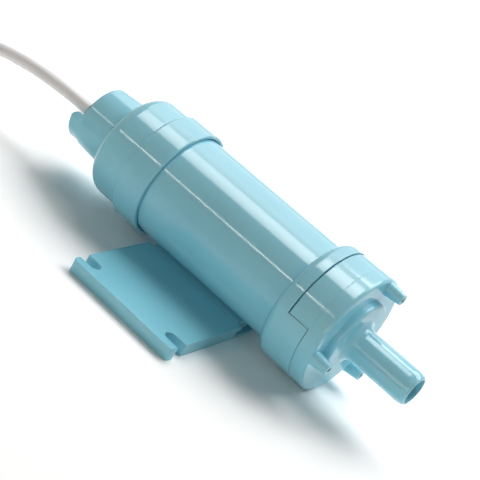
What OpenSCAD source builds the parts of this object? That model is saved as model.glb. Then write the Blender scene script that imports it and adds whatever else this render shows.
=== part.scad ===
// In-line 12 V water pump for a caravan: a tube-shaped housing with an inlet spigot in front, a rear cap
// with the outlet socket and the cable, and a mounting plate that slides onto rails under the tube.
// Millimetres. +X runs along the pump to the inlet, +Z is up, the plate's underside is at Z = 0.

/* [Housing] */
// Outside diameter of the main tube
tube_d = 38.5; // [37:0.1:40]
// Wall of the main tube
tube_wall = 2.0; // [1.6:0.1:2.2]
// Tube from the rear cap's rim to the flange
tube_l = 59; // [56:0.5:70]
// Diameter of the front flange
flange_d = 45; // [44.5:0.1:45.4]
// Flange from its rear shoulder to its front face
flange_l = 20.2; // [19.5:0.1:24]
// Wall of the flange
flange_wall = 2.3; // [2:0.1:2.5]
// Height of the pump's axis above the mounting surface
axis_h = 22.9; // [22.8:0.1:24]

/* [Front cover] */
// Cover's skirt on its long upper half, measured from the face
skirt_long = 13.6; // [12.5:0.1:13.8]
// Cover's skirt on its short lower half, measured from the face
skirt_short = 5.7; // [4.5:0.1:8]
// Height of the step in the parting line above the axis
step_h = 3.3; // [0:0.1:6]
// Thickness of the cover's face
cover_t = 2.8; // [2:0.1:3.5]
// Diameter of the raised disc on the face
disc_d = 28.6; // [24:0.1:32]
// Height of the raised disc
disc_h = 2.4; // [1.2:0.1:3]
// Outside diameter of the inlet spigot
spigot_d = 12; // [11:0.1:13]
// Bore of the inlet spigot
spigot_bore = 9.3; // [8:0.1:9.6]
// Length of the inlet spigot above the disc
spigot_l = 24.7; // [18:0.1:30]
// Diameter of a peg at its root
peg_d = 5.4; // [4.4:0.1:5.8]
// Diameter of a peg at its tip
peg_tip_d = 3.8; // [3.4:0.1:4.2]
// Length of a peg
peg_l = 6.1; // [4:0.1:9]
// Blind hole in a peg
peg_bore = 2; // [1.5:0.1:2.4]
// Diameter of the circle on which the pegs stand
peg_circle_d = 39; // [38:0.1:39.5]

/* [Rear cap] */
// Diameter of the collar that goes over the tube
collar_d = 41.4; // [40.4:0.1:41.4]
// Length of the collar
collar_l = 11.5; // [11:0.1:14]
// Length of tube inside the collar
cap_lap = 8.5; // [6:0.1:8.8]
// Diameter of the cap's middle section
mid_d = 39; // [38:0.1:39.8]
// Length of the cap's middle section
mid_l = 14.1; // [12:0.1:24]
// Rounding of the cap's rear shoulder
cap_round = 5; // [3:0.1:5.5]
// Diameter of the rear boss at its root
boss_d = 26.2; // [24.8:0.1:27]
// Diameter of the rear boss at its end
boss_tip_d = 24.2; // [23.8:0.1:24.8]
// Length of the rear boss
boss_l = 14; // [12:0.1:15]
// Length of the half-round tongue behind the boss
tongue_l = 4.4; // [3:0.1:6]
// Wall of the tongue
tongue_wall = 1.2; // [1:0.1:1.2]

/* [Outlet] */
// Bore of the outlet socket, for a 12 mm pipe end
outlet_d = 12.1; // [12:0.05:12.3]
// Depth of the outlet socket
outlet_l = 16; // [15:0.1:18]
// Outlet's place to the side of the axis
outlet_y = 3.6; // [3.4:0.1:3.7]
// Outlet's place above the axis
outlet_z = -1.8; // [-2:0.1:-1.6]

/* [Mounting plate] */
// Size of the plate along the pump
plate_l = 45; // [40:0.5:50]
// Size of the plate across the pump
plate_w = 98.5; // [90:0.5:110]
// Thickness of the plate
plate_t = 4.6; // [4.4:0.1:4.7]
// Distance from the cap's rim to the plate
plate_setback = 5; // [3:0.1:7]
// Width of a screw slot
slot_w = 4.5; // [4.2:0.1:5.5]
// Depth of a screw slot from the plate's front or rear edge
slot_l = 7; // [6:0.1:10]
// Middle of a slot from the plate's side
slot_inset = 5.4; // [5:0.1:8]
// Rounding of the plate's corners
corner_r = 1.2; // [0.5:0.1:3]
// Half width of the groove's mouth in the plate
groove_half_w = 10.2; // [10.2:0.1:11]
// Floor of the groove
groove_floor = 1.2; // [1:0.1:1.3]

/* [Motor] */
// Diameter of the motor's can
motor_d = 28; // [26:0.1:28.4]
// Length of the motor's can
motor_l = 40; // [40:0.5:42]
// Wall of the motor's can
can_wall = 0.8; // [0.6:0.1:1]
// Diameter of the motor's shaft
shaft_d = 3; // [2.4:0.1:3.2]
// Length of the armature's stack
stack_l = 20; // [16:0.5:20]
// Wall of the sleeve that keeps the motor dry
sleeve_wall = 1.3; // [1:0.1:1.5]
// Diameter of the impeller
impeller_d = 30; // [26:0.5:32]
// Number of vanes on the impeller
vanes = 6; // [5:1:8]

/* [Cable] */
// Diameter of the cable
cable_d = 4.6; // [4.2:0.1:4.8]
// Turns in the put-away coil
coil_turns = 5.5; // [3.5:1:5.5]

/* [Hidden] */
$fn = 96;

shell_blue = "#74B7C6";
rubber_black = "#202224";
motor_steel = "#A9ADB0";
copper = "#B4703A";
brass = "#C9A54B";
nylon_white = "#E4E2DA";
cable_grey = "#CBCBC9";

// Clearances
fit = 0.15;
press = 0.02;
run_fit = 0.04;
slide_gap = 0.3;
air_gap = 0.5;
over = 1;

// Stations along the pump, rear to front
x_rim = -plate_l / 2 - plate_setback;
x_step = x_rim - collar_l;
x_mid = x_step - mid_l;
x_boss = x_mid - boss_l;
x_tube_end = x_rim - cap_lap;
x_shoulder = x_rim + tube_l;
x_face = x_shoulder + flange_l;
x_long = x_face - skirt_long;
x_short = x_face - skirt_short;
x_disc = x_face + disc_h;
x_tip = x_disc + spigot_l;

// Main radii
tube_r = tube_d / 2;
tube_in_r = tube_r - tube_wall;
flange_r = flange_d / 2;
flange_in_r = flange_r - flange_wall;
collar_r = collar_d / 2;
mid_r = mid_d / 2;
boss_tip_r = boss_tip_d / 2;
spigot_r = spigot_d / 2;

// Round-section seals: section, and the room that each is given
seal_d = 1.5;
seal_room = 1.6;

// Bulkhead between the pump chamber and the motor
seat_in = 1.3;
seat_share = 0.46;
bulkhead_t = 3;
bulkhead_plug = 4;
windows = 6;
spoke_w = 3;
x_seat = x_shoulder + seat_in;
x_bulkhead = x_seat + 0.05;
x_chamber = x_bulkhead + bulkhead_t;
x_seal_step = x_chamber + 0.05;
seat_r = tube_in_r + seat_share * (flange_in_r - tube_in_r);
seal_slack = 0.25;
nose_r = flange_in_r - seal_d - seal_slack;
x_plug = x_seal_step + seal_room;
nose_wall = 1;
plug_r = flange_in_r - fit;
x_chamber_front = x_face - cover_t;

// Motor and its sleeve
sleeve_in_r = motor_d / 2 + fit;
sleeve_r = sleeve_in_r + sleeve_wall;
x_motor = x_seat - bulkhead_plug - 0.05;
x_motor_rear = x_motor - motor_l;
end_bell_l = 4;
tab_l = 5;
wiring_l = 12;
sleeve_end_t = 1.5;
x_sleeve = x_motor_rear - end_bell_l - wiring_l;
can_in_r = motor_d / 2 - can_wall;
can_boss_r = 4.4;
can_boss_l = 2;
can_front_t = 1.2;
shaft_r = shaft_d / 2;
bush_r = shaft_r + 1.5;
bush_l = 4;
x_front_bush = x_motor + can_boss_l - bush_l;
x_rear_bush = x_motor_rear - end_bell_l + 0.8;
magnet_t = 3;
magnet_over = 3;
magnet_in_r = can_in_r - fit - magnet_t;
armature_r = magnet_in_r - air_gap;
stack_front_gap = 8;
x_stack = x_motor - stack_front_gap - stack_l;
winding_l = 3.2;
winding_r = armature_r - 0.9;
commutator_r = 4;
commutator_l = 6;
x_commutator = x_stack - winding_l - 0.6 - commutator_l;
x_shaft_rear = x_rear_bush - 0.5;
impeller_plate_t = 2;
x_impeller = x_chamber + 0.8;
x_impeller_front = x_chamber_front - air_gap;
x_shaft_front = x_impeller_front - 1;
shaft_seal_r = 5.5;
shaft_seal_l = 3.6;
washer_t = 0.6;
washer_r = 6.4;

// Cable's place in the rear boss
cable_r = cable_d / 2;
cable_y = -6.4;
cable_z = 2.4;
gland_r = cable_r + 1.2;
gland_flange_r = cable_r + 1.4;
gland_flange_t = 0.9;
gland_l = 6;
x_cable_exit = x_boss - gland_flange_t;
cap_end_t = 3;
x_cap_inside = x_mid + cap_end_t;
cable_boss_l = 4;

// Seal's groove in the outlet socket
outlet_seal_in = 8;
x_outlet_seal = x_boss + outlet_seal_in;

// Sleeve's duct over the cable
duct_r = cable_r + 1.25;

// Rails under the tube and the groove in the plate
rail_in = 3;
neck_w = 2.6;
rail_foot = 1.9;
rail_foot_t = 1.4;
stop_t = 1.9;
stop_w = 2;
stop_h = 1.4;
foot_z = groove_floor + slide_gap;
lip_z = foot_z + rail_foot_t + slide_gap;
rail_out = groove_half_w - slide_gap;
x_rail_rear = -plate_l / 2 + stop_t + slide_gap;
x_rail_front = plate_l / 2 - 2;

// Angles of the pegs about the axis, from +Y towards +Z
peg_angles = [74, 192, 310];

// Cable's route, straight out of the gland and down to the coil, chosen by hand
route = [
    [-68, -6.4, 25.3], [-73, -6.4, 25.3], [-80, -6.4, 25.1], [-88, -6.4, 24.5], [-96, -6.4, 23.6],
    [-104, -6.4, 22.3], [-112, -6.6, 20.5], [-120, -7.4, 18.1], [-128, -9, 15.2], [-136, -11.8, 12],
    [-143, -15.6, 9], [-149, -20, 6.6], [-153.6, -25, 4.7], [-156.8, -30.6, 3.6],
    [-158.5, -36.6, 3.1], [-158.5, -41.4, 3.1]
];
// Coil: middle, outer radius of its centre line, steps outwards and upwards, and rings in one turn
coil_centre = [-126, -46];
coil_r = 32.5;
coil_pitch = 5.2;
coil_rise = 5.2;
coil_floor = 3.1;
coil_rings = 24;
core_d = 1.7;
core_l = 12;
tie_w = 4;
tie_t = 0.6;

// Arc in a turned profile, as [radius, station] points; 0 degrees is outwards, 90 is to the front
function arc(centre_r, centre_x, r, from, to, steps = 10) = [
    for (i = [0:steps])
        let (a = from + (to - from) * i / steps)
        [centre_r + r * cos(a), centre_x + r * sin(a)]
];

// Places children drawn in the Y-Z plane at a station on the pump's axis
module axial(x) {
    translate([x, 0, axis_h])
        rotate([90, 0, 90])
            children();
}

// Round bar along the pump's axis
module rod(from, to, r) {
    axial(from)
        cylinder(h = to - from, r = r);
}

// Round bar parallel to the pump's axis
module side_rod(y, z, from, to, r) {
    translate([0, y, z])
        rod(from, to, r);
}

// Ring about the pump's axis
module collar_ring(from, to, r_out, r_in) {
    difference() {
        rod(from, to, r_out);
        rod(from - over, to + over, r_in);
    }
}

// Body turned about the pump's axis from [radius, station] points
module turned(points) {
    axial(0)
        rotate_extrude()
            polygon(points);
}

// Round-section seal about the pump's axis
module round_seal(x, r) {
    axial(x)
        rotate_extrude()
            translate([r, 0])
                circle(d = seal_d, $fn = 32);
}

// Box by its low and high corners
module block(low, high) {
    translate(low)
        cube(high - low);
}

// Unbroken tube along a list of points, as rings of triangles
function direction(p, i) =
    let (d = p[min(i + 1, len(p) - 1)] - p[max(i - 1, 0)])
    d / norm(d);
function tube_ring(p, i, r, sides) =
    let (t = direction(p, i))
    let (side = cross(t, [0, 0, 1]) / norm(cross(t, [0, 0, 1])))
    let (up = cross(side, t))
    [for (k = [0:sides - 1]) p[i] + r * (cos(360 * k / sides) * side + sin(360 * k / sides) * up)];
function tube_points(p, r, sides) = [
    for (i = [0:len(p) - 1])
        for (q = tube_ring(p, i, r, sides))
            q
];
function wall_faces(rings, sides) = [
    for (i = [0:rings - 2])
        for (k = [0:sides - 1])
            let (a = i * sides + k)
            let (b = i * sides + (k + 1) % sides)
            for (f = [[a, a + sides, b + sides], [a, b + sides, b]])
                f
];
function end_faces(rings, sides) = [
    for (k = [1:sides - 2])
        for (f = [[0, k, k + 1], [(rings - 1) * sides, (rings - 1) * sides + k + 1, (rings - 1) * sides + k]])
            f
];
module tube_along(p, d, sides) {
    polyhedron(
        points = tube_points(p, d / 2, sides),
        faces = concat(wall_faces(len(p), sides), end_faces(len(p), sides))
    );
}

// Coil: spirals in on the lower layer, climbs in the half turn where it reverses, and spirals out on top
function coil_climb(t) =
    let (s = min(max((t - coil_turns / 2) * 2 + 0.5, 0), 1))
    s * s * (3 - 2 * s);
function coil_point(t) =
    let (r = coil_r - coil_pitch * min(t, coil_turns - t))
    let (a = 180 + 360 * t)
    [
        coil_centre[0] + r * cos(a),
        coil_centre[1] + r * sin(a),
        coil_floor + coil_rise * coil_climb(t)
    ];
coil_steps = coil_turns * coil_rings;
coil_turn_points = [for (i = [0:coil_steps]) coil_point(i / coil_rings)];
coil_start = coil_turn_points[0];
coil_end = coil_turn_points[coil_steps];
coil_out = [0, cos(180 + 360 * coil_turns), 0];
coil_path = concat(
    [coil_start + [0, cable_d, 0]],
    coil_turn_points,
    [coil_end + coil_out * cable_d]
);

// Least gap between turns of the coil that lie at least half a turn apart
coil_gap = min([
    for (i = [0:coil_steps])
        for (j = [i + coil_rings / 2:coil_steps])
            norm(coil_turn_points[i] - coil_turn_points[j]) - cable_d
]);
echo(coil_gap = coil_gap);

module housing_tube() {
    outline = concat(
        [[0, x_tube_end], [tube_r, x_tube_end]],
        arc(tube_r, x_shoulder + flange_r - tube_r, flange_r - tube_r, -90, 0),
        [[flange_r, x_short], [0, x_short]]
    );
    line_gap = 0.5;
    color(shell_blue)
    difference() {
        union() {
            turned(outline);
            for (side = [-1, 1])
                rail(side);
        }
        rod(x_tube_end - over, x_face, tube_in_r);
        rod(x_seat, x_face, seat_r);
        rod(x_seal_step, x_face, flange_in_r);
        block(
            [x_long - line_gap, -flange_r, axis_h + step_h],
            [x_face, flange_r, axis_h + flange_r + over]
        );
    }
}

// One rail under the tube: a neck into its wall, a body flush with the plate's top and a foot turned outwards
module rail(side) {
    foot_top = foot_z + rail_foot_t;
    mirror([0, side < 0 ? 1 : 0, 0]) {
        block([x_rail_rear, rail_in, foot_z], [x_rail_front, rail_in + neck_w, axis_h]);
        block([x_rail_rear, rail_in, foot_z], [x_rail_front, rail_out, plate_t]);
        block([x_rail_rear, rail_in, foot_z], [x_rail_front, rail_out + rail_foot, foot_top]);
    }
}

module front_cover() {
    edge_r = 1.1;
    disc_edge = 1;
    root_r = 3;
    tip_in = 1.1;
    tip_l = 3.2;
    thin_gap = 0.2;
    skirt_in = 0.12;
    x_lower = x_short + thin_gap;
    tip = [
        for (a = [0:15:90])
            [spigot_r - tip_in * (1 - cos(a)), x_tip - tip_l * (1 - sin(a))]
    ];
    outline = concat(
        [[nose_r - nose_wall, x_seal_step], [nose_r, x_seal_step], [nose_r, x_plug], [plug_r, x_plug]],
        [[plug_r, x_lower], [flange_r, x_lower]],
        arc(flange_r - edge_r, x_face - edge_r, edge_r, 0, 90),
        [[disc_d / 2, x_face]],
        arc(disc_d / 2 - disc_edge, x_disc - disc_edge, disc_edge, 0, 90),
        arc(spigot_r + root_r, x_disc + root_r, root_r, -90, -180),
        tip,
        [[spigot_bore / 2, x_tip], [spigot_bore / 2, x_chamber_front]],
        [[nose_r - nose_wall, x_chamber_front]]
    );
    color(shell_blue)
    difference() {
        union() {
            turned(outline);
            difference() {
                collar_ring(x_long, x_lower + edge_r, flange_r - skirt_in, plug_r - fit);
                block(
                    [x_long - over, -flange_d, axis_h - flange_d],
                    [x_tip, flange_d, axis_h + step_h + thin_gap]
                );
            }
            for (a = peg_angles)
                peg(a, x_face - edge_r, peg_l + edge_r, peg_d / 2, peg_tip_d / 2);
        }
        for (a = peg_angles)
            peg(a, x_face + 1, peg_l, peg_bore / 2, peg_bore / 2);
    }
}

// Round peg, or its bore, on the peg circle
module peg(angle, x, l, root_r, tip_r) {
    axial(x)
        rotate([0, 0, angle])
            translate([peg_circle_d / 2, 0, 0])
                cylinder(h = l, r1 = root_r, r2 = tip_r);
}

module rear_cap() {
    skirt_in_r = tube_r + fit;
    mouth_r = tube_r + 0.4;
    mouth_l = 1.2;
    rim_edge = 0.3;
    step_edge = 0.7;
    boss_edge = 0.8;
    x_inner_step = x_tube_end - seal_room;
    cap_in_r = mid_r - 2;
    socket_r = outlet_d / 2;
    socket_wall = 1.1;
    x_socket_end = x_boss + outlet_l;
    outline = concat(
        [[mouth_r, x_rim], [collar_r - rim_edge, x_rim]],
        [[collar_r, x_rim - rim_edge]],
        arc(collar_r - step_edge, x_step + step_edge, step_edge, 0, -90, 4),
        [[mid_r, x_step]],
        arc(mid_r - cap_round, x_mid + cap_round, cap_round, 0, -90),
        [[boss_d / 2, x_mid]],
        arc(boss_tip_r - boss_edge, x_boss + boss_edge, boss_edge, 0, -90, 4),
        [[0, x_boss], [0, x_cap_inside], [cap_in_r, x_cap_inside], [cap_in_r, x_inner_step]],
        [[skirt_in_r, x_inner_step], [skirt_in_r, x_rim - mouth_l], [mouth_r, x_rim - mouth_l]]
    );
    color(shell_blue)
    difference() {
        union() {
            turned(outline);
            side_rod(outlet_y, outlet_z, x_mid, x_socket_end + 2, socket_r + socket_wall);
            side_rod(cable_y, cable_z, x_mid, x_cap_inside + cable_boss_l, duct_r + 1.2);
            tongue();
        }
        side_rod(outlet_y, outlet_z, x_boss - tongue_l - over, x_socket_end, socket_r);
        side_rod(outlet_y, outlet_z, x_boss, x_socket_end + 2 + over, spigot_bore / 2);
        side_rod(outlet_y, outlet_z, x_outlet_seal, x_outlet_seal + seal_room, socket_r + seal_d);
        side_rod(cable_y, cable_z, x_boss - over, x_cap_inside + cable_boss_l + over, cable_r + fit);
        side_rod(cable_y, cable_z, x_boss - over, x_boss + gland_l, gland_r + 0.05);
        side_rod(cable_y, cable_z, x_cap_inside + over, x_cap_inside + cable_boss_l + over, duct_r + fit);
    }
}

// Half-round tongue behind the boss, its free corners rounded
module tongue() {
    rise = 1.6;
    corner = 2.5;
    inset = 0.6;
    r = boss_tip_r - inset;
    x_free = x_boss - tongue_l;
    intersection() {
        collar_ring(x_free, x_boss + over, r, r - tongue_wall);
        rotate([90, 0, 0])
            linear_extrude(boss_d, center = true) {
                translate([x_free, axis_h - boss_d])
                    square([tongue_l + 2 * over, boss_d + rise - corner]);
                translate([x_free + corner, axis_h - boss_d])
                    square([tongue_l + 2 * over - corner, boss_d + rise]);
                translate([x_free + corner, axis_h + rise - corner])
                    circle(corner, $fn = 48);
            }
    }
}

module mounting_plate() {
    undercut = groove_half_w + rail_foot;
    between = rail_out - stop_w - slide_gap;
    stop_z = groove_floor + stop_h;
    color(shell_blue)
    difference() {
        linear_extrude(plate_t)
            plate_outline();
        block([-plate_l, -groove_half_w, stop_z], [plate_l, groove_half_w, plate_t + over]);
        block([-plate_l, -between, groove_floor], [plate_l, between, plate_t + over]);
        block([x_rail_rear - slide_gap, -undercut, groove_floor], [plate_l, undercut, lip_z]);
        for (x_side = [-1, 1])
            for (y_side = [-1, 1])
                screw_slot(x_side, y_side);
    }
}

// Plate seen from above: a rectangle with round corners
module plate_outline() {
    square([plate_l - 2 * corner_r, plate_w], center = true);
    square([plate_l, plate_w - 2 * corner_r], center = true);
    for (x = [-1, 1])
        for (y = [-1, 1])
            translate([x * (plate_l / 2 - corner_r), y * (plate_w / 2 - corner_r)])
                circle(corner_r, $fn = 48);
}

// Slot for a screw, open at the plate's front or rear edge and round inside
module screw_slot(x_side, y_side) {
    x_round = plate_l / 2 - slot_l + slot_w / 2;
    y_slot = y_side * (plate_w / 2 - slot_inset);
    translate([x_side * x_round, y_slot, -over])
        cylinder(h = plate_t + 2 * over, d = slot_w, $fn = 48);
    translate([x_side * (x_round + plate_l / 2), y_slot, plate_t / 2])
        cube([plate_l, slot_w, plate_t + 2 * over], center = true);
}

module cover_seal() {
    color(rubber_black)
        round_seal((x_seal_step + x_plug) / 2, (nose_r + flange_in_r) / 2);
}

module cap_seal() {
    color(rubber_black)
        round_seal(x_tube_end - seal_room / 2, tube_r - seal_d / 2 - fit);
}

module outlet_seal() {
    color(rubber_black)
        translate([0, outlet_y, outlet_z])
            round_seal(x_outlet_seal + seal_room / 2, outlet_d / 2 + seal_d / 2);
}

module bulkhead() {
    window_in_r = sleeve_r + 0.1;
    window_out_r = tube_in_r - 0.1;
    color(nylon_white)
    difference() {
        union() {
            rod(x_bulkhead, x_chamber, seat_r - fit);
            rod(x_motor + 0.05, x_bulkhead + over, sleeve_in_r - 0.1);
        }
        difference() {
            collar_ring(x_bulkhead - over, x_chamber + over, window_out_r, window_in_r);
            for (i = [0:windows - 1])
                axial(x_bulkhead - 2 * over)
                    rotate([0, 0, 360 * (i + 0.5) / windows])
                        translate([0, -spoke_w / 2, 0])
                            cube([tube_r, spoke_w, bulkhead_t + 4 * over]);
        }
        rod(x_motor, x_chamber + over, shaft_r + air_gap);
        rod(x_motor, x_motor + can_boss_l + 0.2, can_boss_r + fit);
        rod(x_chamber - washer_t - shaft_seal_l - 0.1, x_chamber + over, shaft_seal_r + 0.05);
        rod(x_chamber - washer_t - 0.05, x_chamber + over, washer_r + 0.05);
    }
}

module shaft_seal() {
    x_end = x_chamber - washer_t - 0.1;
    color(rubber_black)
        collar_ring(x_end - shaft_seal_l, x_end, shaft_seal_r, shaft_r + run_fit);
}

module seal_washer() {
    color(motor_steel)
        collar_ring(x_chamber - washer_t, x_chamber, washer_r, shaft_r + air_gap);
}

module impeller() {
    hub_r = 4;
    vane_t = 1.4;
    vane_lean = 35;
    vane_in_r = 6;
    color("#2E3236")
    difference() {
        union() {
            rod(x_impeller, x_impeller + impeller_plate_t, impeller_d / 2);
            rod(x_impeller, x_shaft_front, hub_r);
            intersection() {
                rod(x_impeller, x_impeller_front, impeller_d / 2);
                for (i = [0:vanes - 1])
                    axial(x_impeller)
                        rotate([0, 0, 360 * i / vanes])
                            translate([vane_in_r, 0, 0])
                                rotate([0, 0, -vane_lean])
                                    translate([0, -vane_t / 2, 0])
                                        cube([impeller_d, vane_t, x_impeller_front - x_impeller]);
            }
        }
        rod(x_impeller - over, x_impeller_front, shaft_r + press);
    }
}

module motor_sleeve() {
    rib_w = 1.6;
    rib_r = tube_in_r - fit;
    rib_gap = 8;
    x_front = x_seat - 0.1;
    x_duct = x_cap_inside + over + 0.1;
    color(nylon_white)
    difference() {
        union() {
            rod(x_sleeve - sleeve_end_t, x_front, sleeve_r);
            side_rod(cable_y, cable_z, x_duct, x_sleeve, duct_r);
            intersection() {
                rod(x_sleeve, x_front - rib_gap, rib_r);
                for (i = [0:3])
                    axial(x_sleeve)
                        rotate([0, 0, 90 * i + 45])
                            translate([0, -rib_w / 2, 0])
                                cube([tube_r, rib_w, x_front]);
            }
        }
        rod(x_sleeve, x_front + over, sleeve_in_r);
        side_rod(cable_y, cable_z, x_duct - over, x_sleeve + over, cable_r + fit);
    }
}

module motor_can() {
    color(motor_steel)
    difference() {
        union() {
            rod(x_motor_rear, x_motor, motor_d / 2);
            rod(x_motor - over, x_motor + can_boss_l, can_boss_r);
        }
        rod(x_motor_rear - over, x_motor - can_front_t, can_in_r);
        rod(x_front_bush - over, x_motor + can_boss_l + over, bush_r + press);
    }
}

module magnets() {
    magnet_l = stack_l + 2 * magnet_over;
    split_w = 9;
    x_magnet = x_stack - magnet_over;
    color("#4A4C50")
    difference() {
        collar_ring(x_magnet, x_magnet + magnet_l, can_in_r - fit, magnet_in_r);
        block(
            [x_magnet - over, -split_w / 2, axis_h - motor_d],
            [x_magnet + magnet_l + over, split_w / 2, axis_h + motor_d]
        );
    }
}

module front_bearing() {
    color(brass)
        collar_ring(x_front_bush, x_front_bush + bush_l, bush_r, shaft_r + run_fit);
}

module rear_bearing() {
    color(brass)
        collar_ring(x_rear_bush, x_rear_bush + bush_l, bush_r, shaft_r + run_fit);
}

module end_bell() {
    plug_l = 3;
    wall_t = 2;
    shell_in_r = can_in_r - 1.6;
    x_back = x_motor_rear - end_bell_l;
    color("#3A3D40")
    difference() {
        union() {
            rod(x_back, x_motor_rear - 0.05, motor_d / 2 - 0.1);
            rod(x_back, x_motor_rear + plug_l, can_in_r - fit);
        }
        difference() {
            rod(x_back + wall_t, x_motor_rear + plug_l + over, shell_in_r);
            rod(x_back, x_rear_bush + bush_l, bush_r + 1.4);
        }
        rod(x_rear_bush - 1.5, x_motor_rear + plug_l + over, bush_r + press);
        for (side = [-1, 1])
            terminal_room(side, x_back);
    }
}

// Brush arm's place beside the commutator, and its slit through the end bell
brush_out_r = 8.6;
arm_t = 0.5;
arm_w = 4;
module terminal_room(side, x_back) {
    y = side * (brush_out_r + fit + arm_t / 2);
    translate([x_back, y, axis_h])
        cube([3 * end_bell_l, arm_t + 0.2, arm_w + 0.2], center = true);
}

module brushes() {
    brush_l = 4;
    brush_w = 3;
    contact_gap = 0.2;
    x_brush = x_commutator + (commutator_l - brush_l) / 2;
    color("#33312F")
    for (side = [-1, 1])
        mirror([0, side < 0 ? 1 : 0, 0])
            difference() {
                block(
                    [x_brush, commutator_r - over, axis_h - brush_w / 2],
                    [x_brush + brush_l, brush_out_r, axis_h + brush_w / 2]
                );
                rod(x_brush - over, x_brush + brush_l + over, commutator_r + contact_gap);
            }
}

module brush_terminals() {
    x_tab = x_motor_rear - end_bell_l - tab_l;
    color(brass)
    for (side = [-1, 1])
        mirror([0, side < 0 ? 1 : 0, 0])
            block(
                [x_tab, brush_out_r + fit, axis_h - arm_w / 2],
                [x_commutator + commutator_l, brush_out_r + fit + arm_t, axis_h + arm_w / 2]
            );
}

module capacitor() {
    cap_r = 3.6;
    cap_t = 2.4;
    leg_r = 0.35;
    leg_out = 3;
    x_leg = x_motor_rear - end_bell_l - leg_out;
    leg_l = brush_out_r + fit - 0.1;
    color("#B98B4A") {
        translate([x_leg - cap_t / 2, 0, axis_h])
            rotate([0, 90, 0])
                cylinder(h = cap_t, r = cap_r);
        translate([x_leg, leg_l, axis_h])
            rotate([90, 0, 0])
                cylinder(h = 2 * leg_l, r = leg_r, $fn = 24);
    }
}

// Two insulated leads from the cable's end to the terminals
module inner_leads() {
    lead_d = 1.3;
    x_tab = x_motor_rear - end_bell_l - tab_l - 0.1;
    x_start = x_sleeve + 2.1;
    color("#8C4A3A")
    for (side = [-1, 1])
        tube_along(
            [
                [x_start, cable_y, axis_h + cable_z + side],
                [x_start + 1.5, cable_y, axis_h + cable_z + side],
                [x_tab - 1.5, side * (brush_out_r + 0.4), axis_h + side * 0.8],
                [x_tab, side * (brush_out_r + 0.4), axis_h + side * 0.8]
            ],
            lead_d, 8
        );
}

// Round bar between two points
module round_bar(from, to, r) {
    d = to - from;
    translate(from)
        rotate([0, acos(d[2] / norm(d)), atan2(d[1], d[0])])
            cylinder(h = norm(d), r = r, $fn = 24);
}

module motor_shaft() {
    color(motor_steel)
        rod(x_shaft_rear, x_shaft_front, shaft_r);
}

module armature_core() {
    color("#8A8D90")
    difference() {
        rod(x_stack, x_stack + stack_l, armature_r);
        rod(x_stack - over, x_stack + stack_l + over, shaft_r + press);
        armature_slots(x_stack - over, stack_l + 2 * over, 0);
    }
}

// Winding slots in the armature, or the copper in them when shrunk
slots = 5;
slot_in_r = 4.4;
slot_wide = 2.6;
module armature_slots(x, l, shrink) {
    for (i = [0:slots - 1])
        axial(x)
            rotate([0, 0, 360 * i / slots])
                translate([slot_in_r + shrink, -slot_wide / 2 + shrink, 0])
                    cube([winding_r - slot_in_r - 2 * shrink, slot_wide - 2 * shrink, l]);
}

module armature_windings() {
    bundle_in_r = 2.6;
    color(copper) {
        collar_ring(x_stack - 0.1 - winding_l, x_stack - 0.1, winding_r, bundle_in_r);
        collar_ring(x_stack + stack_l + 0.1, x_stack + stack_l + 0.1 + winding_l, winding_r, bundle_in_r);
        armature_slots(x_stack - over, stack_l + 2 * over, 0.1);
    }
}

module commutator() {
    bars = 5;
    slit_w = 0.5;
    slit_t = 0.8;
    color(copper)
    difference() {
        collar_ring(x_commutator, x_commutator + commutator_l, commutator_r, shaft_r + press);
        for (i = [0:bars - 1])
            axial(x_commutator + over)
                rotate([0, 0, 360 * (i + 0.5) / bars])
                    translate([commutator_r - slit_t, -slit_w / 2, 0])
                        cube([commutator_r, slit_w, commutator_l]);
    }
}

module thrust_washers() {
    washer_l = 0.6;
    end_play = 0.3;
    r = bush_r - 0.2;
    color(nylon_white) {
        collar_ring(x_front_bush - end_play - washer_l, x_front_bush - end_play, r, shaft_r + press);
        collar_ring(x_commutator - end_play - washer_l, x_commutator - end_play, r, shaft_r + press);
    }
}

module cable_gland() {
    color("#B9BABA")
    difference() {
        union() {
            side_rod(cable_y, cable_z, x_cable_exit, x_boss - 0.05, gland_flange_r);
            side_rod(cable_y, cable_z, x_boss - 0.1, x_boss + gland_l - 0.1, gland_r);
        }
        side_rod(cable_y, cable_z, x_cable_exit - over, x_boss + gland_l + over, cable_r + 0.05);
    }
}

module cable_inner() {
    color(cable_grey)
        side_rod(cable_y, cable_z, x_cable_exit, x_sleeve + 2, cable_r);
}

module cable() {
    color(cable_grey)
        tube_along(route, cable_d, 10);
}

module cable_coil() {
    color(cable_grey)
        tube_along(coil_path, cable_d, 6);
}

// Band round the coil on its near side
module coil_tie() {
    gap = 0.3;
    inner_r = coil_r - coil_pitch * (coil_turns - 1) / 2 - coil_pitch / 4 - cable_r - gap;
    outer_r = coil_r - coil_pitch / 4 + cable_r + gap;
    top = coil_floor + coil_rise + cable_r + gap;
    bottom = coil_floor - cable_r - 0.1;
    color("#E9E9E6")
        translate([coil_centre[0], coil_centre[1], 0])
            difference() {
                block(
                    [-tie_w / 2, -outer_r - tie_t, bottom - tie_t],
                    [tie_w / 2, -inner_r + tie_t, top + tie_t]
                );
                block([-tie_w, -outer_r, bottom], [tie_w, -inner_r, top]);
            }
}

// Bare cores at the cable's far end
module cable_cores() {
    start = coil_end + coil_out * cable_d;
    color(copper)
    for (side = [-1, 1])
        round_bar(
            start + [side * core_d * 0.6, 0, 0],
            start + [side * core_d * 0.6, 0, 0] + coil_out * core_l,
            core_d / 2
        );
}

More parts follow.
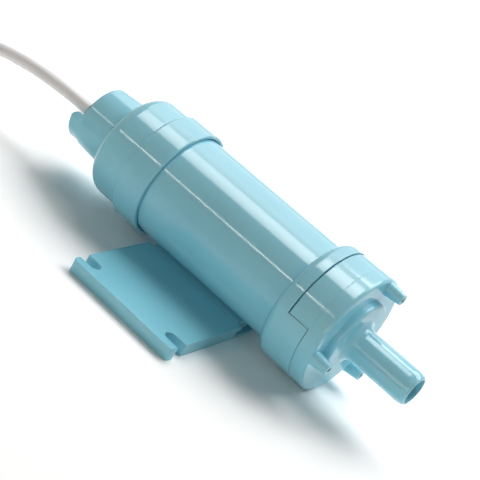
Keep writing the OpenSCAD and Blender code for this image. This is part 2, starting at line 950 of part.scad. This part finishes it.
housing_tube();
front_cover();
rear_cap();
mounting_plate();
cover_seal();
cap_seal();
outlet_seal();
bulkhead();
shaft_seal();
seal_washer();
impeller();
motor_sleeve();
motor_can();
magnets();
front_bearing();
rear_bearing();
end_bell();
brushes();
brush_terminals();
capacitor();
inner_leads();
motor_shaft();
armature_core();
armature_windings();
commutator();
thrust_washers();
cable_gland();
cable_inner();
cable();
cable_coil();
coil_tie();
cable_cores();
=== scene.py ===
"""Looks of a small in-line caravan water pump: moulded shell, mounting plate, cable and inner works."""

import math

import bmesh
import bpy
from mathutils import Matrix, Vector


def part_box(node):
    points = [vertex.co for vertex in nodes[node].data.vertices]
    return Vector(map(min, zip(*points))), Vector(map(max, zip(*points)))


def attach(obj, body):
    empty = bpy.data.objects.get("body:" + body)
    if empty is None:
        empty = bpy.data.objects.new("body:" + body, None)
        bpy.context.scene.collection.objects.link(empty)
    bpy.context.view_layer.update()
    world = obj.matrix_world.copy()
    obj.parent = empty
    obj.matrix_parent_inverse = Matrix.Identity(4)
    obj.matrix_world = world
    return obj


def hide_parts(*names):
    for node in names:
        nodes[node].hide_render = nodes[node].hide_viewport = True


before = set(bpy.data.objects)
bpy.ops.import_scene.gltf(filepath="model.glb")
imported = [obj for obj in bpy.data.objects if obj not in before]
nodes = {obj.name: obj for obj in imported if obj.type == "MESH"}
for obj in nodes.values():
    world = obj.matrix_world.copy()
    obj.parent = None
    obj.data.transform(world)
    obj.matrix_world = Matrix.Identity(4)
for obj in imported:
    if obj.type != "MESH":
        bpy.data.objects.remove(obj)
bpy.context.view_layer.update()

MM = 0.001

# Camera: where it stands and looks, its turn about the line of sight in degrees, its lens and sensor in
# millimetres, and the nearest distance that it shows in metres
CAMERA_AT = Vector((180, -403, 230)) * MM
CAMERA_AIM = Vector((1.5, 0, 22.6)) * MM
CAMERA_ROLL = 30.6
CAMERA_LENS = 110.8
CAMERA_SENSOR = 36
CAMERA_NEAR = 0.01

# Cable: its route from the gland to the coil, and the coil that holds the rest, all in millimetres. The
# coil's steps are points in one turn, and a cord's steps smooth its line and its round section
CABLE_D = 4.6
CABLE_ROUTE = [
    (-68, -6.4, 25.3), (-73, -6.4, 25.3), (-80, -6.4, 25.1), (-88, -6.4, 24.5), (-96, -6.4, 23.6),
    (-104, -6.4, 22.3), (-112, -6.6, 20.5), (-120, -7.4, 18.1), (-128, -9, 15.2), (-136, -11.8, 12),
    (-143, -15.6, 9), (-149, -20, 6.6), (-153.6, -25, 4.7), (-156.8, -30.6, 3.6),
    (-158.5, -36.6, 3.1), (-158.5, -41.4, 3.1),
]
COIL_CENTRE = (-126, -46)
COIL_R = 32.5
COIL_PITCH = 5.2
COIL_RISE = 5.2
COIL_FLOOR = 3.1
COIL_TURNS = 5.5
COIL_STEPS = 24
CORD_STEPS = 6

# Cores at the cable's bare end, in millimetres: how far each starts inside the sheath, how far to its side it
# starts (in diameters), bends and ends, and how far it sinks
CORE_D = 1.7
CORE_L = 8
CORE_INSIDE = 1
CORE_ASIDE = 0.55
CORE_BEND = 0.1
CORE_SPREAD = 0.9
CORE_DROP = 0.3

# Bare strands of each core, in millimetres: one in the middle and the rest round it (in strand diameters),
# starting inside the core, leaning to its side and twisted (in radians)
STRIPPED_L = 4
STRANDS = 7
STRAND_D = 0.42
STRAND_ASIDE = 1.05
STRAND_INSIDE = 0.4
STRAND_LEAN = 0.3
STRAND_TWIST = 2.2
STRAND_STEPS = 6

# Tie round the coil's near side, in millimetres: the band
TIE_W = 4
TIE_T = 0.6
TIE_CORNER_R = 1.6
TIE_EDGE_R = 0.12

# The tie's locking head, its mouth, and how far it sits in from the band's near side and above its top
HEAD_SIZE = (6, 4.6, 3.4)
HEAD_EDGE_R = 0.7
MOUTH_RIM = 0.7
MOUTH_TAPER = 0.05
MOUTH_DEPTH = 1.1
HEAD_IN = 5.2
HEAD_UP = 1.2

# The tie's tail: where it starts before the head's middle, and how far it bends down at each step
TAIL_W = 3.6
TAIL_T = 0.7
TAIL_EDGE_R = 0.15
TAIL_START = 1.2
TAIL_STEP = 1.1
TAIL_DROPS = (0.0, 0.15, 0.5, 0.9)

# Floor, in metres: half its side, how far below the pump it lies, and where it starts and ends to fade
FLOOR_HALF = 4
FLOOR_DROP = 0.05 * MM
FADE_START = 0.4
FADE_END = 1.2

# Light of the room that reaches the pump from all sides, where 1 is white
ROOM_FILL = 0.06


# Camera
camera_data = bpy.data.cameras.new("camera")
camera_data.lens = CAMERA_LENS
camera_data.sensor_width = CAMERA_SENSOR
camera_data.clip_start = CAMERA_NEAR
camera = bpy.data.objects.new("camera", camera_data)
bpy.context.scene.collection.objects.link(camera)
sight = (CAMERA_AIM - CAMERA_AT).to_track_quat("-Z", "Y").to_matrix().to_4x4()
roll = Matrix.Rotation(math.radians(CAMERA_ROLL), 4, "Z")
camera.matrix_world = Matrix.Translation(CAMERA_AT) @ sight @ roll
bpy.context.scene.camera = camera


# Materials
def linear(hex_colour):
    """An sRGB hex colour as linear RGBA."""
    parts = [int(hex_colour[i:i + 2], 16) / 255 for i in (1, 3, 5)]
    return [c / 12.92 if c <= 0.04045 else ((c + 0.055) / 1.055) ** 2.4 for c in parts] + [1.0]


def add(tree, kind, links, **settings):
    """A shader node with its settings; links maps its inputs to sockets or to plain values."""
    node = tree.nodes.new(kind)
    for name, value in settings.items():
        setattr(node, name, value)
    for name, source in links.items():
        if isinstance(source, bpy.types.NodeSocket):
            tree.links.new(source, node.inputs[name])
        else:
            node.inputs[name].default_value = source
    return node


def new_material(name):
    """An empty material and its Object coordinates."""
    material = bpy.data.materials.new(name)
    material.use_nodes = True
    tree = material.node_tree
    tree.nodes.clear()
    place = add(tree, "ShaderNodeTexCoord", {}).outputs["Object"]
    return material, tree, place


def mottle(tree, place, size_mm, low, high, detail=3):
    """A colour that drifts between two tones in patches of a given size."""
    patches = add(
        tree, "ShaderNodeTexNoise",
        {"Vector": place, "Scale": 1000 / size_mm, "Detail": detail, "Roughness": 0.5},
    )
    ramp = add(tree, "ShaderNodeValToRGB", {"Fac": patches.outputs["Fac"]})
    ramp.color_ramp.elements[0].position = 0.32
    ramp.color_ramp.elements[0].color = linear(low)
    ramp.color_ramp.elements[1].position = 0.68
    ramp.color_ramp.elements[1].color = linear(high)
    return ramp.outputs["Color"]


def spread(tree, place, size_mm, low, high, detail=4):
    """A number that drifts between two values in patches of a given size."""
    patches = add(
        tree, "ShaderNodeTexNoise",
        {"Vector": place, "Scale": 1000 / size_mm, "Detail": detail, "Roughness": 0.6},
    )
    drift = add(
        tree, "ShaderNodeMapRange",
        {"Value": patches.outputs["Fac"], "From Min": 0.3, "From Max": 0.7, "To Min": low, "To Max": high},
    )
    return drift.outputs["Result"]


def wear_and_sheen_edges(tree, colour, pale, radius_mm, share):
    """Edges within a radius turn paler, partly as rubbing and partly as a painted highlight; gives the colour
    and the rounded normal.
    """
    rounded = add(tree, "ShaderNodeBevel", {"Radius": radius_mm * MM}, samples=6)
    flat = add(tree, "ShaderNodeNewGeometry", {})
    turn = add(
        tree, "ShaderNodeVectorMath", {0: rounded.outputs["Normal"], 1: flat.outputs["Normal"]},
        operation="DOT_PRODUCT",
    )
    edge = add(
        tree, "ShaderNodeMapRange",
        {"Value": turn.outputs["Value"], "From Min": 1.0, "From Max": 0.8, "To Min": 0.0, "To Max": share},
    )
    # The paler edge colour is partly rubbing and partly a painted highlight along the edges
    wear_and_sheen = add(
        tree, "ShaderNodeMix", {"Factor": edge.outputs["Result"], "A": colour, "B": linear(pale)},
        data_type="RGBA",
    )
    return wear_and_sheen.outputs["Result"], rounded.outputs["Normal"]


def moulded_plastic(name, colour, deep, pale, gloss, ior, peel_mm, peel_depth):
    """Injection-moulded plastic: slight flow mottle, hazy and clear patches, orange peel, and paler edges
    from rubbing and a painted highlight.
    """
    material, tree, place = new_material(name)
    # Colour flow of the melt, about 25 mm across, and edges within 0.4 mm made paler, partly as rubbing and
    # partly as a painted highlight
    flow = mottle(tree, place, 25, deep, colour)
    wear_and_sheen, normal = wear_and_sheen_edges(tree, flow, pale, 0.4, 0.3)
    # Handling haze in patches of about 14 mm
    haze = spread(tree, place, 14, gloss[0], gloss[1])
    peel = add(
        tree, "ShaderNodeTexNoise",
        {"Vector": place, "Scale": 1000 / peel_mm, "Detail": 1, "Roughness": 0.4},
    )
    bump = add(
        tree, "ShaderNodeBump",
        {"Strength": peel_depth, "Distance": 0.05 * MM, "Height": peel.outputs["Fac"], "Normal": normal},
    )
    shader = add(
        tree, "ShaderNodeBsdfPrincipled",
        {"Base Color": wear_and_sheen, "Roughness": haze, "IOR": ior, "Normal": bump.outputs["Normal"]},
    )
    add(tree, "ShaderNodeOutputMaterial", {"Surface": shader.outputs["BSDF"]})
    return material


def soft_rubber(name, colour, deep, rough):
    """Moulded rubber or soft plastic: dull, with a dusty bloom and a fine pebbled skin."""
    material, tree, place = new_material(name)
    bloom = mottle(tree, place, 4, deep, colour)
    dull = spread(tree, place, 3, rough - 0.08, rough + 0.08)
    # Pebbled skin, about 0.35 mm across
    skin = add(tree, "ShaderNodeTexVoronoi", {"Vector": place, "Scale": 1000 / 0.35}, feature="SMOOTH_F1")
    bump = add(
        tree, "ShaderNodeBump",
        {"Strength": 0.15, "Distance": 0.04 * MM, "Height": skin.outputs["Distance"]},
    )
    shader = add(
        tree, "ShaderNodeBsdfPrincipled",
        {"Base Color": bloom, "Roughness": dull, "IOR": 1.5, "Normal": bump.outputs["Normal"]},
    )
    add(tree, "ShaderNodeOutputMaterial", {"Surface": shader.outputs["BSDF"]})
    return material


def worked_metal(name, colour, deep, rough, mark_mm, stretch):
    """Drawn, turned or pressed metal: fine tool marks drawn out along or across the pump, and dull stains."""
    material, tree, place = new_material(name)
    stain = mottle(tree, place, 7, deep, colour)
    # Tool marks are finer than a pixel in life; they are drawn this coarse to show
    drawn = add(tree, "ShaderNodeMapping", {"Vector": place, "Scale": stretch})
    marks = add(
        tree, "ShaderNodeTexNoise",
        {"Vector": drawn.outputs["Vector"], "Scale": 1000 / mark_mm, "Detail": 4, "Roughness": 0.6},
    )
    sheen = add(
        tree, "ShaderNodeMapRange",
        {
            "Value": marks.outputs["Fac"], "From Min": 0.3, "From Max": 0.7,
            "To Min": rough - 0.1, "To Max": rough + 0.1,
        },
    )
    bump = add(
        tree, "ShaderNodeBump", {"Strength": 0.12, "Distance": 0.03 * MM, "Height": marks.outputs["Fac"]},
    )
    shader = add(
        tree, "ShaderNodeBsdfPrincipled",
        {
            "Base Color": stain, "Metallic": 1.0, "Roughness": sheen.outputs["Result"],
            "Normal": bump.outputs["Normal"],
        },
    )
    add(tree, "ShaderNodeOutputMaterial", {"Surface": shader.outputs["BSDF"]})
    return material


def banded(name, colour, deep, band_mm, direction, rough, metallic):
    """Stacked sheet or wound wire: even bands a fixed distance apart, dark in the gaps."""
    material, tree, place = new_material(name)
    # One band of the wave texture is 2 pi / 20 of its unit
    bands = add(
        tree, "ShaderNodeTexWave",
        {
            "Vector": place, "Scale": 1000 / band_mm * math.pi / 10, "Distortion": 0.3,
            "Detail": 1, "Detail Scale": 0.2,
        },
        bands_direction=direction,
    )
    tone = add(tree, "ShaderNodeValToRGB", {"Fac": bands.outputs["Fac"]})
    tone.color_ramp.elements[0].position = 0.05
    tone.color_ramp.elements[0].color = linear(deep)
    tone.color_ramp.elements[1].position = 0.4
    tone.color_ramp.elements[1].color = linear(colour)
    dull = spread(tree, place, 4, rough - 0.08, rough + 0.08)
    bump = add(
        tree, "ShaderNodeBump", {"Strength": 0.5, "Distance": 0.1 * MM, "Height": bands.outputs["Fac"]},
    )
    shader = add(
        tree, "ShaderNodeBsdfPrincipled",
        {
            "Base Color": tone.outputs["Color"], "Metallic": metallic, "Roughness": dull,
            "Normal": bump.outputs["Normal"],
        },
    )
    add(tree, "ShaderNodeOutputMaterial", {"Surface": shader.outputs["BSDF"]})
    return material


def pressed_powder(name, colour, deep, rough, grain_mm, metallic):
    """Sintered or pressed powder: a grainy, slightly pitted face."""
    material, tree, place = new_material(name)
    grain = mottle(tree, place, grain_mm, deep, colour, detail=5)
    dull = spread(tree, place, grain_mm, rough - 0.1, rough + 0.1)
    pits = add(tree, "ShaderNodeTexVoronoi", {"Vector": place, "Scale": 1000 / grain_mm})
    bump = add(
        tree, "ShaderNodeBump", {"Strength": 0.25, "Distance": 0.05 * MM, "Height": pits.outputs["Distance"]},
    )
    shader = add(
        tree, "ShaderNodeBsdfPrincipled",
        {"Base Color": grain, "Metallic": metallic, "Roughness": dull, "Normal": bump.outputs["Normal"]},
    )
    add(tree, "ShaderNodeOutputMaterial", {"Surface": shader.outputs["BSDF"]})
    return material


def extruded_pvc(name, colour, deep, rough):
    """Extruded PVC sheath: satin in patches, with a faint mottle and shallow waves from the die."""
    material, tree, place = new_material(name)
    tone = mottle(tree, place, 9, deep, colour)
    satin = spread(tree, place, 5, rough - 0.07, rough + 0.07)
    # Waves about 1.6 mm across
    waves = add(
        tree, "ShaderNodeTexNoise", {"Vector": place, "Scale": 1000 / 1.6, "Detail": 2, "Roughness": 0.5},
    )
    bump = add(
        tree, "ShaderNodeBump", {"Strength": 0.12, "Distance": 0.06 * MM, "Height": waves.outputs["Fac"]},
    )
    shader = add(
        tree, "ShaderNodeBsdfPrincipled",
        {"Base Color": tone, "Roughness": satin, "IOR": 1.53, "Normal": bump.outputs["Normal"]},
    )
    add(tree, "ShaderNodeOutputMaterial", {"Surface": shader.outputs["BSDF"]})
    return material


# Turquoise ABS from a polished tool: near-mirror gloss, so faces pick up the floor and the lights
shell_abs = moulded_plastic(
    "turquoise gloss moulded ABS", "#8ED5E7", "#88D0E3", "#B9E6EF",
    gloss=(0.06, 0.11), ior=1.53, peel_mm=1.4, peel_depth=0.03,
)
# Natural nylon: milky, satin
natural_nylon = moulded_plastic(
    "natural moulded nylon", "#E4E1D6", "#DAD6C8", "#F0EEE6",
    gloss=(0.32, 0.45), ior=1.53, peel_mm=0.8, peel_depth=0.08,
)
# Glass-filled nylon: black, dull, with a coarse skin
filled_nylon = moulded_plastic(
    "black glass-filled nylon", "#26292C", "#1D2022", "#3A3E42",
    gloss=(0.42, 0.58), ior=1.53, peel_mm=0.5, peel_depth=0.2,
)
# Dipped coat of the capacitor
dipped_coat = moulded_plastic(
    "dipped phenolic coat", "#B8823F", "#A06C30", "#C99A5C",
    gloss=(0.35, 0.5), ior=1.55, peel_mm=0.9, peel_depth=0.3,
)
# Nitrile rubber: black and dull
nitrile_rubber = soft_rubber("black nitrile rubber", "#232426", "#191A1B", rough=0.55)
# Grey rubber of the gland
gland_rubber = soft_rubber("grey moulded rubber", "#A9AAA9", "#9A9B9A", rough=0.5)
# Zinc-plated deep-drawn steel: draw marks run along the can
ALONG = (0.05, 1, 1)
drawn_steel = worked_metal(
    "zinc-plated drawn steel", "#BFC3C6", "#A9ADB1", rough=0.34, mark_mm=0.35, stretch=ALONG,
)
# Pressed brass strip
brass_strip = worked_metal(
    "pressed brass strip", "#D9BC72", "#BD9B50", rough=0.3, mark_mm=0.4, stretch=ALONG,
)
# Ground steel: marks run round the shaft
ROUND = (1, 0.05, 0.05)
ground_steel = worked_metal(
    "ground steel", "#C6C8CA", "#B4B7BA", rough=0.22, mark_mm=0.25, stretch=ROUND,
)
# Turned copper of the commutator: bright, with marks round it
turned_copper = worked_metal(
    "turned bare copper", "#D18A62", "#B06C46", rough=0.28, mark_mm=0.25, stretch=ROUND,
)
# Bare copper of the strands
copper_strand = worked_metal(
    "bare copper strand", "#C9885F", "#A9683F", rough=0.3, mark_mm=0.2, stretch=(1, 1, 0.2),
)
# Armature of electrical sheet, 0.5 mm each
stacked_sheet = banded(
    "stacked electrical sheet", "#8E9194", "#3F4346", band_mm=0.5, direction="X", rough=0.4, metallic=1.0,
)
# Enamelled copper wire, 0.45 mm
winding_wire = banded(
    "enamelled copper wire", "#B5652F", "#5A2B12", band_mm=0.45, direction="Z", rough=0.3, metallic=1.0,
)
# Sintered magnets and bearings, pressed carbon
sintered_ferrite = pressed_powder(
    "sintered ferrite", "#55575A", "#3E4043", rough=0.6, grain_mm=0.5, metallic=0.0,
)
sintered_bronze = pressed_powder(
    "oiled sintered bronze", "#B58B52", "#8C6636", rough=0.42, grain_mm=0.3, metallic=1.0,
)
pressed_carbon = pressed_powder(
    "pressed carbon", "#35332F", "#242220", rough=0.5, grain_mm=0.4, metallic=0.0,
)
# Cable sheath, cores and leads
cable_pvc = extruded_pvc("white extruded PVC", "#EEEEEE", "#E7E7E8", rough=0.38)
brown_pvc = extruded_pvc("brown core PVC", "#6A4130", "#5A3526", rough=0.4)
blue_pvc = extruded_pvc("blue core PVC", "#3C64A0", "#33578C", rough=0.4)
lead_pvc = extruded_pvc("red-brown lead PVC", "#9A4A38", "#843C2C", rough=0.4)

FINISH = {
    shell_abs: ("housing_tube", "front_cover", "rear_cap", "mounting_plate"),
    nitrile_rubber: ("cover_seal", "cap_seal", "outlet_seal", "shaft_seal"),
    natural_nylon: ("bulkhead", "motor_sleeve", "thrust_washers"),
    filled_nylon: ("impeller", "end_bell"),
    drawn_steel: ("motor_can", "seal_washer"),
    ground_steel: ("motor_shaft",),
    turned_copper: ("commutator",),
    brass_strip: ("brush_terminals",),
    stacked_sheet: ("armature_core",),
    winding_wire: ("armature_windings",),
    sintered_ferrite: ("magnets",),
    sintered_bronze: ("front_bearing", "rear_bearing"),
    pressed_carbon: ("brushes",),
    dipped_coat: ("capacitor",),
    lead_pvc: ("inner_leads",),
    gland_rubber: ("cable_gland",),
    cable_pvc: ("cable_inner",),
}
for material, names in FINISH.items():
    for name in names:
        nodes[name].data.materials.clear()
        nodes[name].data.materials.append(material)


# Cable
def coil_point(turn):
    """A point of the coil: in on the lower layer, up in the half turn where it reverses, out on top."""
    r = COIL_R - COIL_PITCH * min(turn, COIL_TURNS - turn)
    a = math.pi + 2 * math.pi * turn
    s = min(max((turn - COIL_TURNS / 2) * 2 + 0.5, 0), 1)
    climb = s * s * (3 - 2 * s)
    return (
        COIL_CENTRE[0] + r * math.cos(a),
        COIL_CENTRE[1] + r * math.sin(a),
        COIL_FLOOR + COIL_RISE * climb,
    )


def round_cord(name, points, thickness, material):
    """A round cord along points, all in millimetres."""
    data = bpy.data.curves.new(name, "CURVE")
    data.dimensions = "3D"
    data.bevel_depth = thickness / 2 * MM
    data.bevel_resolution = CORD_STEPS
    data.resolution_u = CORD_STEPS
    data.use_fill_caps = True
    spline = data.splines.new("BEZIER")
    spline.bezier_points.add(len(points) - 1)
    for knot, point in zip(spline.bezier_points, points):
        knot.co = Vector(point) * MM
        knot.handle_left_type = "AUTO"
        knot.handle_right_type = "AUTO"
    data.materials.append(material)
    piece = bpy.data.objects.new(name, data)
    bpy.context.scene.collection.objects.link(piece)
    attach(piece, "pump")
    return piece


coil_points = [coil_point(i / COIL_STEPS) for i in range(int(COIL_TURNS * COIL_STEPS) + 1)]
cable_end = Vector(coil_points[-1]) + Vector((0, CABLE_D, 0))
cable = round_cord("pump_cable", CABLE_ROUTE + coil_points + [tuple(cable_end)], CABLE_D, cable_pvc)
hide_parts("cable", "cable_coil")

# Cores: each leaves the sheath, spreads a little and ends in twisted bare strands
core_pieces = []
for side, colour, material in ((-1, "brown", brown_pvc), (1, "blue", blue_pvc)):
    start = cable_end + Vector((side * CORE_D * CORE_ASIDE, -CORE_INSIDE, 0))
    bend = start + Vector((side * CORE_BEND, CORE_L / 2, 0))
    tip = start + Vector((side * CORE_SPREAD, CORE_L + CORE_INSIDE, -CORE_DROP))
    core = round_cord(f"core_{colour}", [start, bend, tip], CORE_D, material)
    core_pieces.append(core)
    for k in range(STRANDS):
        off = 0 if k == STRANDS - 1 else STRAND_D * STRAND_ASIDE
        strand = []
        for step in range(STRAND_STEPS + 1):
            share = step / STRAND_STEPS
            a = 2 * math.pi * k / (STRANDS - 1) + STRAND_TWIST * share
            strand.append(tip + Vector((
                off * math.cos(a) + side * STRAND_LEAN * share,
                (STRIPPED_L + STRAND_INSIDE) * share - STRAND_INSIDE,
                off * math.sin(a),
            )))
        wire = round_cord(f"strand_{colour}_{k}", strand, STRAND_D, copper_strand)
        core_pieces.append(wire)
for piece in core_pieces:
    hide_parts("cable_cores")


# Tie: a band with rounded corners, its locking head and a trimmed tail
def mesh_piece(name, shape, material):
    """A finished bmesh as a smoothly shaded piece of the pump."""
    bmesh.ops.recalc_face_normals(shape, faces=shape.faces)
    data = bpy.data.meshes.new(name)
    shape.to_mesh(data)
    shape.free()
    data.materials.append(material)
    data.shade_smooth()
    piece = bpy.data.objects.new(name, data)
    bpy.context.scene.collection.objects.link(piece)
    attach(piece, "pump")
    return piece


def thicken(piece, thickness, edge_r):
    """Gives a sheet its thickness, half to each side, and rounded edges, both in millimetres."""
    wall = piece.modifiers.new("thickness", "SOLIDIFY")
    wall.thickness = thickness * MM
    wall.offset = 0
    edge = piece.modifiers.new("rounded edges", "BEVEL")
    edge.width = edge_r * MM
    edge.segments = 2


tie_low = Vector(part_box("coil_tie")[0])
tie_high = Vector(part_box("coil_tie")[1])
tie_x = (tie_low.x + tie_high.x) / 2

band = bmesh.new()
half_t = TIE_T / 2 * MM
corners = [
    (tie_low.x, tie_low.y + half_t, tie_low.z + half_t),
    (tie_low.x, tie_high.y - half_t, tie_low.z + half_t),
    (tie_low.x, tie_high.y - half_t, tie_high.z - half_t),
    (tie_low.x, tie_low.y + half_t, tie_high.z - half_t),
]
loop = [band.verts.new(c) for c in corners]
for a, b in zip(loop, loop[1:] + loop[:1]):
    band.edges.new((a, b))
bmesh.ops.bevel(
    band, geom=band.verts[:], offset=TIE_CORNER_R * MM, segments=6, profile=0.5, affect="VERTICES",
    material=-1,
)
swept = bmesh.ops.extrude_edge_only(band, edges=band.edges[:])
moved = [v for v in swept["geom"] if isinstance(v, bmesh.types.BMVert)]
bmesh.ops.translate(band, verts=moved, vec=(TIE_W * MM, 0, 0))
tie_band = mesh_piece("tie_band", band, natural_nylon)
thicken(tie_band, TIE_T, TIE_EDGE_R)

head = bmesh.new()
bmesh.ops.create_cube(head, size=1)
bmesh.ops.scale(head, verts=head.verts[:], vec=[side * MM for side in HEAD_SIZE])
bmesh.ops.bevel(
    head, geom=head.edges[:], offset=HEAD_EDGE_R * MM, segments=4, profile=0.5, affect="EDGES", material=-1,
)
# Mouth of the head: the near face is set in, where the tail comes out
near = min(head.faces, key=lambda face: face.calc_center_median().y)
bmesh.ops.inset_individual(head, faces=[near], thickness=MOUTH_RIM * MM, depth=0)
bmesh.ops.inset_individual(head, faces=[near], thickness=MOUTH_TAPER * MM, depth=-MOUTH_DEPTH * MM)
head_at = Vector((tie_x, tie_low.y + HEAD_IN * MM, tie_high.z + HEAD_UP * MM))
bmesh.ops.translate(head, verts=head.verts[:], vec=head_at)
tie_head = mesh_piece("tie_head", head, natural_nylon)

tail = bmesh.new()
tail_start = head_at + Vector((0, -TAIL_START * MM, 0))
strip = [tail.verts.new(tail_start + Vector((side * TAIL_W / 2 * MM, 0, 0))) for side in (-1, 1)]
tail.edges.new(strip)
front = tail.edges[:]
for drop in TAIL_DROPS:
    grown = bmesh.ops.extrude_edge_only(tail, edges=front)
    front = [e for e in grown["geom"] if isinstance(e, bmesh.types.BMEdge)]
    tips = [v for v in grown["geom"] if isinstance(v, bmesh.types.BMVert)]
    bmesh.ops.translate(tail, verts=tips, vec=(0, -TAIL_STEP * MM, -drop * MM))
tie_tail = mesh_piece("tie_tail", tail, natural_nylon)
thicken(tie_tail, TAIL_T, TAIL_EDGE_R)

tie_pieces = [tie_band, tie_head, tie_tail]
for piece in tie_pieces:
    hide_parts("coil_tie")

# Floor
floor_shape = bmesh.new()
bmesh.ops.create_grid(floor_shape, x_segments=1, y_segments=1, size=FLOOR_HALF)
floor_mesh = bpy.data.meshes.new("floor")
floor_shape.to_mesh(floor_mesh)
floor_shape.free()
floor = bpy.data.objects.new("floor", floor_mesh)
floor.location.z = -FLOOR_DROP
bpy.context.scene.collection.objects.link(floor)
floor_material, floor_tree, floor_place = new_material("white paper sweep")


def seen_straight(tree):
    """One for rays from the camera and for mirrored and refracted rays, nought for scattered light."""
    path = add(tree, "ShaderNodeLightPath", {})
    either = add(
        tree, "ShaderNodeMath", {0: path.outputs["Is Camera Ray"], 1: path.outputs["Is Glossy Ray"]},
        operation="MAXIMUM",
    )
    straight = add(
        tree, "ShaderNodeMath", {0: either.outputs["Value"], 1: path.outputs["Is Transmission Ray"]},
        operation="MAXIMUM",
    )
    return straight.outputs["Value"]


# The paper shows a little whiter than it lights the pump, and fades into the white backdrop well away from it
paper = add(floor_tree, "ShaderNodeBsdfDiffuse", {"Color": linear("#FBFBFB")})
extra = add(floor_tree, "ShaderNodeBsdfDiffuse", {"Color": linear("#777777")})
shown = add(floor_tree, "ShaderNodeMixShader", {"Fac": seen_straight(floor_tree), 2: extra.outputs["BSDF"]})
white = add(floor_tree, "ShaderNodeAddShader", {0: paper.outputs["BSDF"], 1: shown.outputs["Shader"]})
reach = add(floor_tree, "ShaderNodeVectorMath", {0: floor_place}, operation="LENGTH")
fade = add(
    floor_tree, "ShaderNodeMapRange",
    {
        "Value": reach.outputs["Value"], "From Min": FADE_START, "From Max": FADE_END,
        "To Min": 0.0, "To Max": 1.0,
    },
)
clear = add(floor_tree, "ShaderNodeBsdfTransparent", {})
sweep = add(
    floor_tree, "ShaderNodeMixShader",
    {"Fac": fade.outputs["Result"], 1: white.outputs["Shader"], 2: clear.outputs["BSDF"]},
)
add(floor_tree, "ShaderNodeOutputMaterial", {"Surface": sweep.outputs["Shader"]})
floor_mesh.materials.append(floor_material)


# Light: a lamp's brightness along one of its sides is given as places from 0 to 1 and the share at each
EVEN = [(0, 1), (1, 1)]
KEY_RISE = [(0, 0.2), (0.25, 0.25), (0.5, 0.58), (0.65, 0.9), (0.78, 1), (0.9, 0.75), (1, 0.45)]
HEAD_RISE = [(0, 0), (0.1, 0.6), (0.3, 0.8), (0.62, 1), (0.8, 0.75), (1, 0.15)]
HEAD_RUN = [(0, 0.2), (0.15, 0.75), (0.4, 0.78), (0.58, 0.9), (0.72, 1.0), (0.88, 0.45), (1, 0.0)]


def shares(tree, place, profile):
    """How bright a lamp's face is at each place along one of its sides."""
    shade = add(tree, "ShaderNodeValToRGB", {"Fac": place})
    ramp = shade.color_ramp
    while len(ramp.elements) < len(profile):
        ramp.elements.new(0.5)
    for element, (at, share) in zip(ramp.elements, profile):
        element.position = at
        element.color = (share, share, share, 1)
    return shade.outputs["Color"]


def lamp(name, place, aim, size, radiance, rise=EVEN, run=EVEN, colour="#FFFFFF"):
    """A soft panel: its place, aim and sides in metres, and how its brightness runs up and along it."""
    data = bpy.data.lights.new(name, "AREA")
    data.shape = "RECTANGLE"
    data.size, data.size_y = size
    data.energy = radiance * math.pi * size[0] * size[1]
    data.color = linear(colour)[:3]
    data.use_nodes = True
    tree = data.node_tree
    tree.nodes.clear()
    face = add(tree, "ShaderNodeNewGeometry", {})
    across = add(tree, "ShaderNodeSeparateXYZ", {"Vector": face.outputs["Parametric"]})
    shade = add(
        tree, "ShaderNodeVectorMath",
        {0: shares(tree, across.outputs["Y"], rise), 1: shares(tree, across.outputs["X"], run)},
        operation="MULTIPLY",
    )
    glow = add(tree, "ShaderNodeEmission", {"Color": shade.outputs["Vector"]})
    add(tree, "ShaderNodeOutputLight", {"Surface": glow.outputs["Emission"]})
    light = bpy.data.objects.new(name, data)
    light.location = place
    light.rotation_mode = "QUATERNION"
    light.rotation_quaternion = (Vector(aim) - Vector(place)).to_track_quat("-Z", "Y")
    bpy.context.scene.collection.objects.link(light)
    return light


# A tall panel behind the pump gives its back a sheen, and a window above it throws the shadow on the plate
lamp(
    "key panel", place=(-0.6, 0.868, 0.945), aim=(-0.6, 0, 0.023), size=(0.7, 1.8), radiance=3.35,
    rise=KEY_RISE,
)
lamp("window", place=(0.25, 0.72, 1.14), aim=(0, 0, 0.02), size=(1.2, 0.8), radiance=5.6)
# The overhead box is seen in reflections only: it draws the broad highlight along the tube
overhead = lamp(
    "overhead softbox", place=(-0.38, 0.0, 1.05), aim=(-0.38, 0.04, 0.02), size=(0.64, 0.54), radiance=10.0,
    rise=HEAD_RISE, run=HEAD_RUN,
)
overhead.visible_diffuse = False
# The near strip draws the thin highlight and the card fills the front; both are a little warm
lamp(
    "near strip", place=(-0.41, -0.62, 0.42), aim=(-0.41, 0, 0.02), size=(0.48, 0.03), radiance=10.4,
    colour="#FFF6EA",
)
lamp(
    "white card", place=(0.35, -1.15, 0.2), aim=(0, 0, 0.02), size=(1.4, 0.36), radiance=1.8,
    colour="#FFEFDF",
)

world = bpy.data.worlds.new("studio")
bpy.context.scene.world = world
world.use_nodes = True
air = world.node_tree
air.nodes.clear()
strength = add(
    air, "ShaderNodeMapRange",
    {"Value": seen_straight(air), "From Min": 0.0, "From Max": 1.0, "To Min": ROOM_FILL, "To Max": 1.0},
)
backdrop = add(
    air, "ShaderNodeBackground", {"Color": linear("#FFFFFF"), "Strength": strength.outputs["Result"]},
)
add(air, "ShaderNodeOutputWorld", {"Surface": backdrop.outputs["Background"]})

bpy.context.scene.view_settings.view_transform = "Standard"
